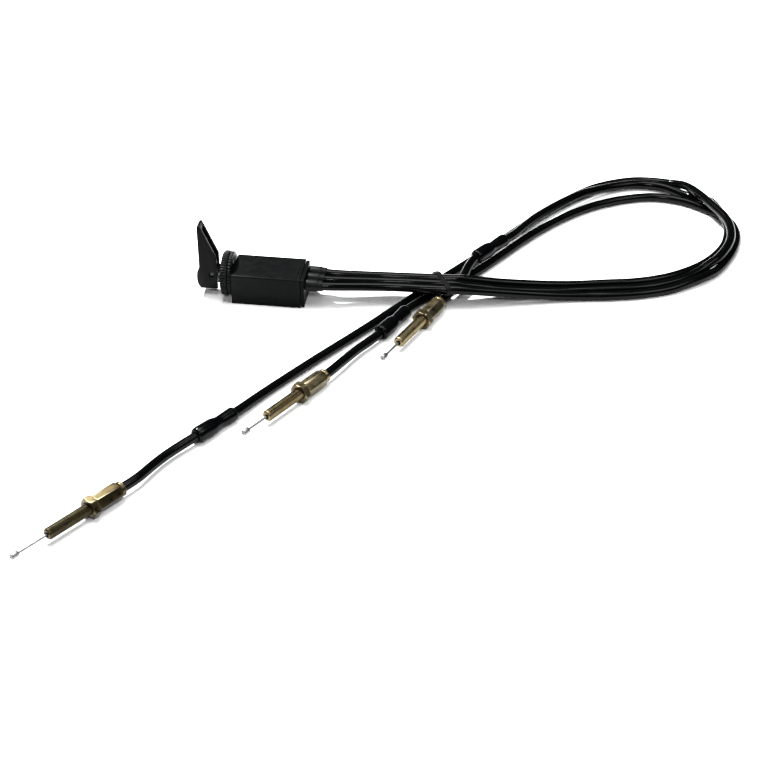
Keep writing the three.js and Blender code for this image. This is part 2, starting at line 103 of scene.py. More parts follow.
HEX_ENDS = ((-37.5, -180.2), (43.2, -78.0), (94.7, -2.9))
HEADINGS = tuple(math.radians(d) for d in (235.3, 238.8, 246.7))

# The boots, shrink sleeves and tie, in millimetres. A skin is a list of (x, radius).
BOOT_SKIN = (
    (21.4, 3.0), (21.65, 3.22), (22.1, 3.3), (27.4, 3.3), (27.9, 3.25), (28.35, 3.08), (28.8, 2.98),
    (30.1, 2.96), (30.65, 2.9), (30.92, 2.84), (31.0, 2.8),
)
BOOT_BORE_R = 2.7
SLEEVE_SKIN = (
    (0.0, 3.0), (0.2, 3.4), (0.6, 3.8), (1.2, 4.02), (2.2, 4.18), (4.0, 4.24), (7.5, 4.26), (10.0, 4.24),
    (11.4, 4.16), (12.6, 3.96), (13.6, 3.7), (14.6, 3.46), (15.6, 3.32), (16.6, 3.32), (18.0, 3.4),
    (21.0, 3.56), (24.0, 3.7), (25.2, 3.74), (25.7, 3.66), (26.0, 3.45),
)
SLEEVE_BORE_R = 2.8
SLEEVE_SPOTS = (
    ((-11.9, -136.2, 4.5), (2.8, -114.7, 4.03)),
    ((66.2, -36.2, 4.46), (77.1, -12.6, 4.13)),
    ((110.2, 38.9, 8.8), (123.2, 58.2, 8.7)),
)
TIE_CENTRE = (95.1, 6.4, 11.05)
TIE_DIRECTION = (0.9, 0.436, 0)
TIE_INNER_Y = 9.2
TIE_INNER_Z = 2.7
STRAP_SECTION = (
    (-1.2, 0.0), (-1.25, 0.1), (-1.25, 0.42), (-1.1, 0.54), (1.1, 0.54), (1.25, 0.42), (1.25, 0.1), (1.2, 0.0),
)

# Each route runs from the end cap to its adjuster, in metres.
ROUTES = (
    (
        (0.0199, 0, 0.0126), (0.028, 0, 0.0126), (0.0349, 0.0002, 0.0124), (0.062, 0.0048, 0.0108),
        (0.077, 0.0059, 0.0108), (0.0996, 0.0063, 0.01105), (0.1169, 0.0095, 0.0085),
        (0.1267, 0.0117, 0.0065), (0.1577, 0.0196, 0.0029), (0.1769, 0.0237, 0.0026),
        (0.2062, 0.0307, 0.0026), (0.2224, 0.039, 0.0027), (0.2346, 0.0486, 0.0039),
        (0.2412, 0.0549, 0.006), (0.2457, 0.0597, 0.0073), (0.2516, 0.0728, 0.009), (0.2529, 0.0833, 0.01),
        (0.2506, 0.0959, 0.0111), (0.241, 0.1143, 0.011), (0.2317, 0.1324, 0.0087),
        (0.2264, 0.1412, 0.0063), (0.2192, 0.1468, 0.0037), (0.2074, 0.1497, 0.00265),
        (0.1951, 0.1483, 0.0026), (0.1751, 0.1381, 0.0026), (0.1576, 0.1203, 0.0026),
        (0.1423, 0.1005, 0.0026), (0.1345, 0.0877, 0.0026), (0.1089, 0.0476, 0.0026),
        (0.0809, 0.0062, 0.0026), (0.0577, -0.0295, 0.0026), (0.0351, -0.0625, 0.00265),
        (0.0146, -0.0938, 0.0028), (0.0034, -0.1136, 0.0039), (-0.0091, -0.1321, 0.0044),
        (-0.0218, -0.1502, 0.0041), (-0.0265, -0.1592, 0.0044), (-0.0316, -0.171, 0.005),
        (-0.0349, -0.1765, 0.00505), (-0.0375, -0.1802, 0.00505),
    ),
    (
        (0.0199, -0.0068, 0.0126), (0.028, -0.0068, 0.0126), (0.0349, -0.0062, 0.0124),
        (0.0545, -0.002, 0.0112), (0.0693, 0.0001, 0.0108), (0.0869, 0.0005, 0.011),
        (0.1043, 0.0016, 0.0109), (0.1381, 0.0092, 0.0063), (0.155, 0.0135, 0.0039),
        (0.1719, 0.017, 0.0027), (0.1868, 0.0194, 0.0026), (0.2061, 0.0245, 0.0026),
        (0.2196, 0.0305, 0.0027), (0.2292, 0.0371, 0.0035), (0.2386, 0.0449, 0.0037),
        (0.2453, 0.0534, 0.0028), (0.2537, 0.0727, 0.0026), (0.2569, 0.0873, 0.0026),
        (0.2567, 0.0973, 0.0026), (0.2539, 0.1068, 0.0026), (0.248, 0.1147, 0.0026),
        (0.242, 0.1193, 0.0026), (0.2271, 0.1282, 0.0026), (0.2101, 0.1309, 0.0026),
        (0.1933, 0.1265, 0.0026), (0.1758, 0.1168, 0.0026), (0.1607, 0.1037, 0.0026),
        (0.1416, 0.0806, 0.0026), (0.1226, 0.0512, 0.0026), (0.1146, 0.0386, 0.0026),
        (0.0997, 0.0186, 0.00265), (0.0864, 0.0034, 0.0028), (0.0786, -0.0093, 0.0039),
        (0.0723, -0.023, 0.0044), (0.0682, -0.0319, 0.0044), (0.061, -0.0443, 0.0041),
        (0.0571, -0.0506, 0.0042), (0.0512, -0.0625, 0.0047), (0.0455, -0.0743, 0.00505),
        (0.0432, -0.078, 0.00505),
    ),
    (
        (0.0199, 0.0068, 0.0126), (0.028, 0.0068, 0.0126), (0.0349, 0.0065, 0.0124),
        (0.0645, 0.0105, 0.0107), (0.0871, 0.0114, 0.011), (0.0996, 0.0117, 0.01105),
        (0.1046, 0.0124, 0.0111), (0.1241, 0.0165, 0.0079), (0.1528, 0.0241, 0.0038),
        (0.167, 0.0277, 0.0027), (0.1815, 0.031, 0.0026), (0.1986, 0.0347, 0.0026),
        (0.2103, 0.0389, 0.0026), (0.2213, 0.0448, 0.0026), (0.2348, 0.0559, 0.00265),
        (0.2439, 0.0679, 0.0027), (0.2504, 0.0821, 0.0036), (0.2515, 0.0975, 0.0059),
        (0.2444, 0.1173, 0.0079), (0.2407, 0.124, 0.0068), (0.2339, 0.1316, 0.0038),
        (0.2277, 0.136, 0.0026), (0.2145, 0.1427, 0.0033), (0.1998, 0.1437, 0.0034),
        (0.186, 0.1388, 0.0037), (0.1738, 0.1305, 0.0047), (0.1664, 0.1238, 0.0056),
        (0.1538, 0.1088, 0.0063), (0.1422, 0.0919, 0.0071), (0.1372, 0.0828, 0.0075),
        (0.1294, 0.0666, 0.0086), (0.1232, 0.0582, 0.0087), (0.1167, 0.0488, 0.0087),
        (0.1104, 0.0392, 0.0088), (0.1073, 0.0303, 0.0085), (0.1049, 0.0204, 0.0072),
        (0.1022, 0.013, 0.0055), (0.0992, 0.007, 0.0051), (0.0967, 0.0017, 0.00505),
        (0.0947, -0.0029, 0.00505),
    ),
)


def outward(i):
    return Vector((math.cos(HEADINGS[i]), math.sin(HEADINGS[i]), 0))


# ---------------------------------------------------------------- geometry helpers


def link(name, mesh):
    obj = bpy.data.objects.new(name, mesh)
    SCENE.collection.objects.link(obj)
    return obj


def smooth(mesh, degrees=32):
    mesh.shade_smooth()
    mesh.set_sharp_from_angle(angle=math.radians(degrees))


def mesh_from(name, verts, faces, degrees=32):
    """A mesh object from points in millimetres."""
    mesh = bpy.data.meshes.new(name)
    mesh.from_pydata([tuple(c * MM for c in v) for v in verts], [], faces)
    mesh.update()
    bm = bmesh.new()
    bm.from_mesh(mesh)
    bmesh.ops.recalc_face_normals(bm, faces=bm.faces)
    bm.to_mesh(mesh)
    bm.free()
    smooth(mesh, degrees)
    return link(name, mesh)


def turned(name, rings, radius_at, sides, degrees=32):
    """A closed body round the X axis: rings are (x, key) and radius_at(x, key, angle) gives its wall.
    The first and last rings are joined, so the rings walk out along the skin and back along the bore."""
    verts = []
    for x, key in rings:
        for k in range(sides):
            a = 2 * math.pi * k / sides
            r = radius_at(x, key, a)
            verts.append((x, r * math.cos(a), r * math.sin(a)))
    faces = []
    count = len(rings)
    for i in range(count):
        j = (i + 1) % count
        for k in range(sides):
            m = (k + 1) % sides
            faces.append((i * sides + k, i * sides + m, j * sides + m, j * sides + k))
    return mesh_from(name, verts, faces, degrees)


def plain(x, key, angle):
    """A round wall whose key is its radius."""
    return key


def solid_turned(name, profile, sides, degrees=32, radius_at=plain):
    """A solid about X from (x, key) stations, closed with a point at each end."""
    verts = [(profile[0][0], 0, 0)]
    for x, key in profile:
        for k in range(sides):
            a = 2 * math.pi * k / sides
            r = radius_at(x, key, a)
            verts.append((x, r * math.cos(a), r * math.sin(a)))
    verts.append((profile[-1][0], 0, 0))
    faces = []
    for k in range(sides):
        faces.append((0, 1 + (k + 1) % sides, 1 + k))
    for i in range(len(profile) - 1):
        a = 1 + i * sides
        for k in range(sides):
            m = (k + 1) % sides
            faces.append((a + k, a + m, a + sides + m, a + sides + k))
    end = len(verts) - 1
    base = 1 + (len(profile) - 1) * sides
    for k in range(sides):
        faces.append((end, base + k, base + (k + 1) % sides))
    return mesh_from(name, verts, faces, degrees)


def lay(obj, origin, direction):
    """Moves an object made along X so that it starts at origin (mm) and runs along direction."""
    x = Vector(direction).normalized()
    y = Vector((0, 0, 1)).cross(x).normalized()
    z = x.cross(y)
    turn = Matrix((x, y, z)).transposed().to_4x4()
    obj.data.transform(Matrix.Translation(Vector(origin) * MM) @ turn)
    obj.data.update()
    return obj


def shift(obj, x=0.0, y=0.0, z=0.0):
    obj.data.transform(Matrix.Translation(Vector((x, y, z)) * MM))
    obj.data.update()
    return obj


def copy_of_cad(node, name):
    """The CAD node's shape as a new piece, welded and with its flat faces merged."""
    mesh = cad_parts[node].data.copy()
    mesh.name = name
    bm = bmesh.new()
    bm.from_mesh(mesh)
    bmesh.ops.remove_doubles(bm, verts=bm.verts, dist=2e-6)
    bmesh.ops.dissolve_limit(bm, angle_limit=math.radians(1.0), verts=bm.verts, edges=bm.edges)
    bmesh.ops.recalc_face_normals(bm, faces=bm.faces)
    for loop_layer in list(bm.loops.layers.uv.values()):
        bm.loops.layers.uv.remove(loop_layer)
    bm.to_mesh(mesh)
    bm.free()
    mesh.materials.clear()
    return link(name, mesh)


def apply_modifiers(obj):
    bpy.context.view_layer.update()
    graph = bpy.context.evaluated_depsgraph_get()
    done = bpy.data.meshes.new_from_object(obj.evaluated_get(graph))
    obj.modifiers.clear()
    old = obj.data
    obj.data = done
    bpy.data.meshes.remove(old)
    return obj


def bevel(obj, width, segments=3, degrees=25):
    m = obj.modifiers.new("edge", "BEVEL")
    m.width = width * MM
    m.segments = segments
    m.limit_method = "ANGLE"
    m.angle_limit = math.radians(degrees)
    m.use_clamp_overlap = True
    m.miter_outer = "MITER_ARC"
    apply_modifiers(obj)
    smooth(obj.data, 40)
    return obj


def cut(obj, cutter):
    m = obj.modifiers.new("cut", "BOOLEAN")
    m.operation = "DIFFERENCE"
    m.solver = "EXACT"
    m.object = cutter
    apply_modifiers(obj)
    bpy.data.objects.remove(cutter)
    return obj


def block(name, x0, x1, y0, y1, z0, z1):
    verts = [(x, y, z) for x in (x0, x1) for y in (y0, y1) for z in (z0, z1)]
    faces = [(0, 1, 3, 2), (4, 6, 7, 5), (0, 4, 5, 1), (2, 3, 7, 6), (0, 2, 6, 4), (1, 5, 7, 3)]
    return mesh_from(name, verts, faces, 20)


# ---------------------------------------------------------------- materials


class Shader:
    """A Principled material with named helpers for its procedural inputs, in object space."""

    def __init__(self, name):
        self.material = bpy.data.materials.new(name)
        self.material.use_nodes = True
        self.tree = self.material.node_tree
        self.bsdf = self.tree.nodes["Principled BSDF"]
        self.coords = self.tree.nodes.new("ShaderNodeTexCoord").outputs["Object"]

    def node(self, kind, **settings):
        n = self.tree.nodes.new(kind)
        for key, value in settings.items():
            setattr(n, key, value)
        return n

    def join(self, a, b):
        self.tree.links.new(a, b)

    def noise(self, scale, detail=4.0, roughness=0.55, vector=None):
        n = self.node("ShaderNodeTexNoise")
        n.inputs["Scale"].default_value = scale
        n.inputs["Detail"].default_value = detail
        n.inputs["Roughness"].default_value = roughness
        self.join(vector or self.coords, n.inputs["Vector"])
        return n.outputs["Fac"]

    def ramp(self, fac, stops):
        r = self.node("ShaderNodeValToRGB")
        elements = r.color_ramp.elements
        elements[0].position, elements[0].color = stops[0][0], (*stops[0][1], 1)
        elements[1].position, elements[1].color = stops[-1][0], (*stops[-1][1], 1)
        for position, colour in stops[1:-1]:
            e = elements.new(position)
            e.color = (*colour, 1)
        self.join(fac, r.inputs["Fac"])
        return r.outputs["Color"]

    def span(self, fac, low, high, start=0.3, end=0.7):
        m = self.node("ShaderNodeMapRange")
        m.inputs["From Min"].default_value = start
        m.inputs["From Max"].default_value = end
        m.inputs["To Min"].default_value = low
        m.inputs["To Max"].default_value = high
        self.join(fac, m.inputs["Value"])
        return m.outputs["Result"]

    def blend(self, fac, a, b):
        m = self.node("ShaderNodeMix", data_type="RGBA")
        self.join(fac, m.inputs["Factor"])
        for socket, value in ((m.inputs[6], a), (m.inputs[7], b)):
            if isinstance(value, tuple):
                socket.default_value = (*value, 1)
            else:
                self.join(value, socket)
        return m.outputs[2]

    def bump(self, height, strength, distance, below=None):
        b = self.node("ShaderNodeBump")
        b.inputs["Strength"].default_value = strength
        b.inputs["Distance"].default_value = distance
        self.join(height, b.inputs["Height"])
        if below is not None:
            self.join(below, b.inputs["Normal"])
        return b.outputs["Normal"]

    def edges(self, low, high, at_low=0.0, at_high=1.0):
        """How sharply the surface turns: above one half on ridges, below it in grooves."""
        g = self.node("ShaderNodeNewGeometry")
        return self.span(g.outputs["Pointiness"], at_low, at_high, low, high)

    def put(self, socket, value):
        target = self.bsdf.inputs[socket]
        if hasattr(value, "is_output") or hasattr(value, "links"):
            self.join(value, target)
        else:
            target.default_value = value


def black_plastic(name, base, speck_and_edge_highlight, rough, grain, grain_depth, specular):
    s = Shader(name)
    cloud = s.noise(90, 5)
    fine = s.noise(grain, 3, 0.6)
    tone = s.ramp(cloud, ((0.3, tuple(c * 0.8 for c in base)), (0.7, tuple(c * 1.25 for c in base))))
    speck = s.span(s.noise(1400, 2), 0.0, 0.35, 0.62, 0.75)
    # The speck colour marks random specks of wear and is also laid on convex edges as a painted highlight.
    s.put("Base Color", s.blend(s.edges(0.56, 0.7), s.blend(speck, tone, speck_and_edge_highlight), speck_and_edge_highlight))
    s.put("Roughness", s.span(s.noise(260, 4), rough - 0.07, rough + 0.08))
    s.put("Specular IOR Level", specular)
    s.put("Normal", s.bump(fine, 0.35, grain_depth))
    return s.material


def sheath_vinyl(name, base, rough, ripple, specular):
    s = Shader(name)
    cloud = s.noise(45, 4)
    s.put("Base Color", s.ramp(cloud, ((0.3, base), (0.72, tuple(c * 1.7 + 0.0003 for c in base)))))
    scuff = s.span(s.noise(520, 5, 0.7), 0.0, 0.12, 0.56, 0.72)
    steady = s.span(s.noise(70, 3), rough, rough + 0.1)
    total = s.node("ShaderNodeMath", operation="ADD")
    s.join(scuff, total.inputs[0])
    s.join(steady, total.inputs[1])
    s.put("Roughness", total.outputs[0])
    s.put("Specular IOR Level", specular)
    wave = s.bump(s.noise(160, 2), ripple, 0.0002)
    s.put("Normal", s.bump(s.noise(2600, 2), 0.08, 0.00005, wave))
    return s.material


def rubber(name, base):
    s = Shader(name)
    s.put("Base Color", s.ramp(s.noise(120, 5), ((0.3, base), (0.7, tuple(c * 1.6 for c in base)))))
    s.put("Roughness", s.span(s.noise(300, 4), 0.38, 0.55))
    s.put("Specular IOR Level", 0.07)
    s.put("Normal", s.bump(s.noise(1700, 3), 0.25, 0.00008))
    return s.material


def yellow_zinc(name, shade):
    """Yellow-passivated zinc, with a painted highlight on its ridges and painted shade in its grooves."""

    def toned(*colour):
        return tuple(c * shade for c in colour)

    s = Shader(name)
    cloud = s.noise(70, 6, 0.6)
    plate = s.ramp(
        cloud,
        (
            (0.28, toned(0.150, 0.105, 0.048)),
            (0.45, toned(0.215, 0.165, 0.080)),
            (0.58, toned(0.250, 0.210, 0.118)),
            (0.74, toned(0.190, 0.175, 0.098)),
        ),
    )
    spots = s.span(s.noise(620, 3), 0.0, 0.8, 0.6, 0.72)
    dull = s.blend(spots, plate, toned(0.09, 0.065, 0.035))
    # Ridges and edges are lightened as a painted highlight.
    ridge_painted_highlight = s.blend(s.edges(0.52, 0.62), dull, toned(0.32, 0.28, 0.18))
    # Thread grooves are darkened as painted shade.
    groove_painted_shade = s.edges(0.4, 0.49, 1.0, 0.0)
    s.put("Base Color", s.blend(groove_painted_shade, ridge_painted_highlight, toned(0.03, 0.02, 0.008)))
    s.put("Metallic", 1.0)
    s.put("Roughness", s.span(s.noise(240, 4), 0.24, 0.4))
    s.put("Normal", s.bump(s.noise(900, 4), 0.2, 0.00006))
    return s.material


def bright_steel(name, base, rough):
    s = Shader(name)
    cloud = s.noise(300, 5)
    s.put("Base Color", s.ramp(cloud, ((0.3, tuple(c * 0.7 for c in base)), (0.7, base))))
    s.put("Metallic", 1.0)
    s.put("Roughness", s.span(s.noise(800, 4), rough - 0.08, rough + 0.1))
    s.put("Normal", s.bump(s.noise(2200, 3), 0.2, 0.00004))
    return s.material


def natural_nylon(name):
    s = Shader(name)
    s.put("Base Color", s.ramp(s.noise(110, 4), ((0.3, (0.52, 0.5, 0.43)), (0.7, (0.66, 0.64, 0.58)))))
    s.put("Roughness", s.span(s.noise(300, 4), 0.4, 0.55))
    s.put("Subsurface Weight", 0.1)
    s.put("Normal", s.bump(s.noise(1300, 3), 0.15, 0.00005))
    return s.material


HOUSING = black_plastic(
    "housing_plastic", (0.0012, 0.0014, 0.0014), (0.006, 0.0066, 0.0068), 0.36, 2300, 0.00006, 0.032
)
LEVER = black_plastic(
    "lever_plastic", (0.0013, 0.0015, 0.0016), (0.007, 0.0077, 0.0079), 0.36, 2000, 0.00006, 0.035
)
# The ring's much lighter speck colour makes the painted edge highlight pick out its ridges.
RING = black_plastic(
    "ring_plastic", (0.0015, 0.0017, 0.0018), (0.03, 0.032, 0.032), 0.38, 2600, 0.00008, 0.06
)
CAP = black_plastic(
    "cap_plastic", (0.0011, 0.0012, 0.0013), (0.005, 0.0055, 0.0057), 0.4, 1800, 0.00007, 0.025
)
SHEATH = sheath_vinyl("sheath_vinyl", (0.0004, 0.0005, 0.0005), 0.1, 0.1, 0.075)
SHRINK = sheath_vinyl("shrink_tube", (0.0004, 0.0005, 0.0006), 0.1, 0.3, 0.07)
BOOT = rubber("boot_rubber", (0.001, 0.0012, 0.0012))
TIE = rubber("tie_nylon", (0.0006, 0.0007, 0.0007))
# One zinc in darker and lighter copies: each adjuster's and jam nut's shade factor is painted shade for how
# much light its facets catch.
ZINCS = (
    yellow_zinc("zinc_shaded_darkest", 0.2),
    yellow_zinc("zinc_shaded_lighter", 0.52),
    yellow_zinc("yellow_zinc", 0.55),
)
NUT_ZINCS = (
    yellow_zinc("nut_zinc_shaded_darkest", 0.3),
    yellow_zinc("nut_zinc_shaded_lighter", 0.42),
    yellow_zinc("nut_zinc_shaded_lightest", 0.5),
)
WIRE = bright_steel("wire_steel", (0.15, 0.153, 0.156), 0.34)
BARREL = bright_steel("barrel_zinc", (0.2, 0.205, 0.2), 0.36)
# The pivot pin is coloured near black as painted shade for the dark pivot hole.
PIN = bright_steel("pin_steel", (0.03, 0.032, 0.034), 0.5)
ROD = bright_steel("rod_steel", (0.42, 0.43, 0.44), 0.36)
NYLON = natural_nylon("carrier_nylon")


def dress(obj, material):
    obj.data.materials.clear()
    obj.data.materials.append(material)
    return obj


def stand_for(obj, material, body, node):
    dress(obj, material)
    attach(obj, body)
    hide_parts(node)
    return obj


# ---------------------------------------------------------------- housing

housing = copy_of_cad("housing_shell", "housing_body")
# A fine groove round the housing just ahead of its rear cap.
seam_outer = block("seam_outer", 17.05, 17.35, -13, 13, -2, 20)
seam_inner = block("seam_inner", 16.5, 18, -11.32, 11.32, 0.18, 17.82)
cut(seam_outer, seam_inner)
cut(housing, seam_outer)
bevel(housing, 0.28, 3, 28)
stand_for(housing, HOUSING, "housing", "housing_shell")

cap = bevel(copy_of_cad("end_cap", "rear_cap"), 0.22, 3, 28)
stand_for(cap, CAP, "housing", "end_cap")

lever = bevel(copy_of_cad("lever", "flip_lever"), 0.3, 3, 24)
stand_for(lever, LEVER, "lever", "lever")

pin_profile = (
    (-PIN_HALF_LENGTH, PIN_R - PIN_EDGE),
    (-PIN_SHOULDER, PIN_R),
    (PIN_SHOULDER, PIN_R),
    (PIN_HALF_LENGTH, PIN_R - PIN_EDGE),
)
pin = solid_turned("lever_pin", pin_profile, 28)
pin.data.transform(Matrix.Rotation(math.pi / 2, 4, "Z"))
shift(pin, PIN_X, 0, AXIS_Z)
stand_for(pin, PIN, "lever", "pivot_pin")


def ridged(name, x0, x1, diameter, ridges, depth, chamfer):
    """A ring with rounded ridges round its rim, chamfered at both faces.
    A key is ("rim", radius, share of the ridge depth) or ("bore", radius)."""
    rim = diameter / 2
    bore = RING_BORE / 2

    def wall(x, key, angle):
        if key[0] == "bore":
            return key[1]
        ridge = 0.5 - 0.5 * math.cos(ridges * angle)
        return key[1] - depth * (ridge**1.6) * key[2]

    rings = [
        (x0, ("rim", rim - chamfer, 0.1)),
        (x0 + chamfer * 0.45, ("rim", rim - chamfer * 0.4, 0.6)),
        (x0 + chamfer, ("rim", rim, 1.0)),
        (x1 - chamfer, ("rim", rim, 1.0)),
        (x1 - chamfer * 0.45, ("rim", rim - chamfer * 0.4, 0.6)),
        (x1, ("rim", rim - chamfer, 0.1)),
        (x1, ("bore", bore + RING_BORE_CHAMFER)),
        (x1 - RING_BORE_CHAMFER, ("bore", bore)),
        (x0 + RING_BORE_CHAMFER, ("bore", bore)),
        (x0, ("bore", bore + RING_BORE_CHAMFER)),
    ]
    return shift(turned(name, rings, wall, ridges * 6, 50), 0, 0, AXIS_Z)


nut = ridged("ring_nut", NUT_FRONT_X, NUT_REAR_X, NUT_D, NUT_RIDGES, NUT_RIDGE_DEPTH, NUT_CHAMFER)
stand_for(nut, RING, "nut", "panel_nut")
washer = ridged(
    "ring_washer", WASHER_FRONT_X, WASHER_REAR_X, WASHER_D, WASHER_RIDGES, WASHER_RIDGE_DEPTH, WASHER_CHAMFER
)
stand_for(washer, RING, "washer", "lock_washer")

# The pieces inside the housing keep their CAD shapes.
for node, material, slot in (
    ("pull_rod", ROD, "pin_steel"),
    ("cable_carrier", NYLON, "carrier_nylon"),
    ("pull_wire_1", WIRE, "wire_steel"),
    ("pull_wire_2", WIRE, "wire_steel"),
    ("pull_wire_3", WIRE, "wire_steel"),
):
    dress(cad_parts[node], material)

# ---------------------------------------------------------------- cables


def catmull(points, steps):
    """A centripetal Catmull-Rom curve through the points."""
    first = points[0] + (points[0] - points[1])
    last = points[-1] + (points[-1] - points[-2])
    chain = [first, *points, last]
    out = []
    for i in range(1, len(chain) - 2):
        p0, p1, p2, p3 = chain[i - 1 : i + 3]
        t1 = (p1 - p0).length ** 0.5
        t2 = t1 + (p2 - p1).length ** 0.5
        t3 = t2 + (p3 - p2).length ** 0.5
        for k in range(steps):
            t = t1 + (t2 - t1) * k / steps
            a1 = p0 * ((t1 - t) / t1) + p1 * (t / t1)
            a2 = p1 * ((t2 - t) / (t2 - t1)) + p2 * ((t - t1) / (t2 - t1))
            a3 = p2 * ((t3 - t) / (t3 - t2)) + p3 * ((t - t2) / (t3 - t2))
            b1 = a1 * ((t2 - t) / t2) + a2 * (t / t2)
            b2 = a2 * ((t3 - t) / (t3 - t1)) + a3 * ((t - t1) / (t3 - t1))
            out.append(b1 * ((t2 - t) / (t2 - t1)) + b2 * ((t - t1) / (t2 - t1)))
    out.append(points[-1])
    return out


def sheath(i):
    points = [Vector(p) for p in ROUTES[i]]
    x, y = HEX_ENDS[i]
    points.append(Vector((x, y, ADJUSTER_Z)) * MM + outward(i) * SOCKET_FILL * MM)
    line = catmull(points, 12)
    curve = bpy.data.curves.new(f"sheath_{i + 1}", "CURVE")
    curve.dimensions = "3D"
    curve.bevel_depth = CONDUIT_D / 2 * MM
    curve.bevel_resolution = 7
    curve.use_fill_caps = True
    spline = curve.splines.new("POLY")
    spline.points.add(len(line) - 1)
    for point, p in zip(spline.points, line):
        point.co = (*p, 1)
    spline.use_smooth = True
    obj = bpy.data.objects.new(f"sheath_{i + 1}", curve)
    SCENE.collection.objects.link(obj)
    return stand_for(obj, SHEATH, "housing", f"conduit_{i + 1}")


sheaths = [sheath(i) for i in range(3)]

for i, lane in enumerate(LANES):
    rings = [*BOOT_SKIN, (BOOT_SKIN[-1][0], BOOT_BORE_R), (BOOT_SKIN[0][0], BOOT_BORE_R)]
    boot = shift(turned(f"strain_relief_{i + 1}", rings, plain, 36, 40), 0, lane * WIRE_PITCH, AXIS_Z)
    stand_for(boot, BOOT, "housing", f"cable_boot_{i + 1}")

for i, (start, end) in enumerate(SLEEVE_SPOTS):
    rings = [*SLEEVE_SKIN, (SLEEVE_SKIN[-1][0], SLEEVE_BORE_R), (SLEEVE_SKIN[0][0], SLEEVE_BORE_R)]
    sleeve = turned(f"shrink_sleeve_{i + 1}", rings, plain, 40, 40)
    lay(sleeve, start, Vector(end) - Vector(start))
    stand_for(sleeve, SHRINK, "housing", f"sleeve_{i + 1}")


def hexagon(across, angle):
    """Distance to a hexagon's wall, with flats facing up and down."""
    within = angle % (math.pi / 3) - math.pi / 6
    return across / 2 / math.cos(within)


def thread_rings(x0, x1, per_pitch):
    count = int(round((x1 - x0) / THREAD_PITCH * per_pitch))
    return [x0 + (x1 - x0) * k / count for k in range(count + 1)]


def adjuster_wall(x, key, angle):
    kind, size = key[:2]
    if kind == "hex":
        return min(hexagon(HEX_ACROSS, angle - key[2]), size)
    if kind == "thread":
        turns = x / THREAD_PITCH - angle / (2 * math.pi)
        tooth = abs(2 * (turns - math.floor(turns)) - 1)
        cut_depth = 0.5 * min(1.0, max(0.0, (x - 0.5) / 0.9), max(0.0, (THREAD_LENGTH - 0.4 - x) / 0.6))
        crest = min(1.0, max(0.0, tooth * 1.35 - 0.12))
        return min(THREAD_D / 2 - cut_depth * (1 - crest), 2.5 + x * 0.55)
    return size


def jam_nut_wall(x, key, angle):
    kind, size = key
    return min(hexagon(JAM_ACROSS, angle), size) if kind == "hex" else size


def strand_wall(x, key, angle):
    """The wall of a wire twisted from strands."""
    phase = (angle + 2 * math.pi * x / STRAND_LAY) * STRANDS / 2
    return WIRE_D / 2 - STRAND_GROOVE * (1 - abs(math.cos(phase))) ** 1.4


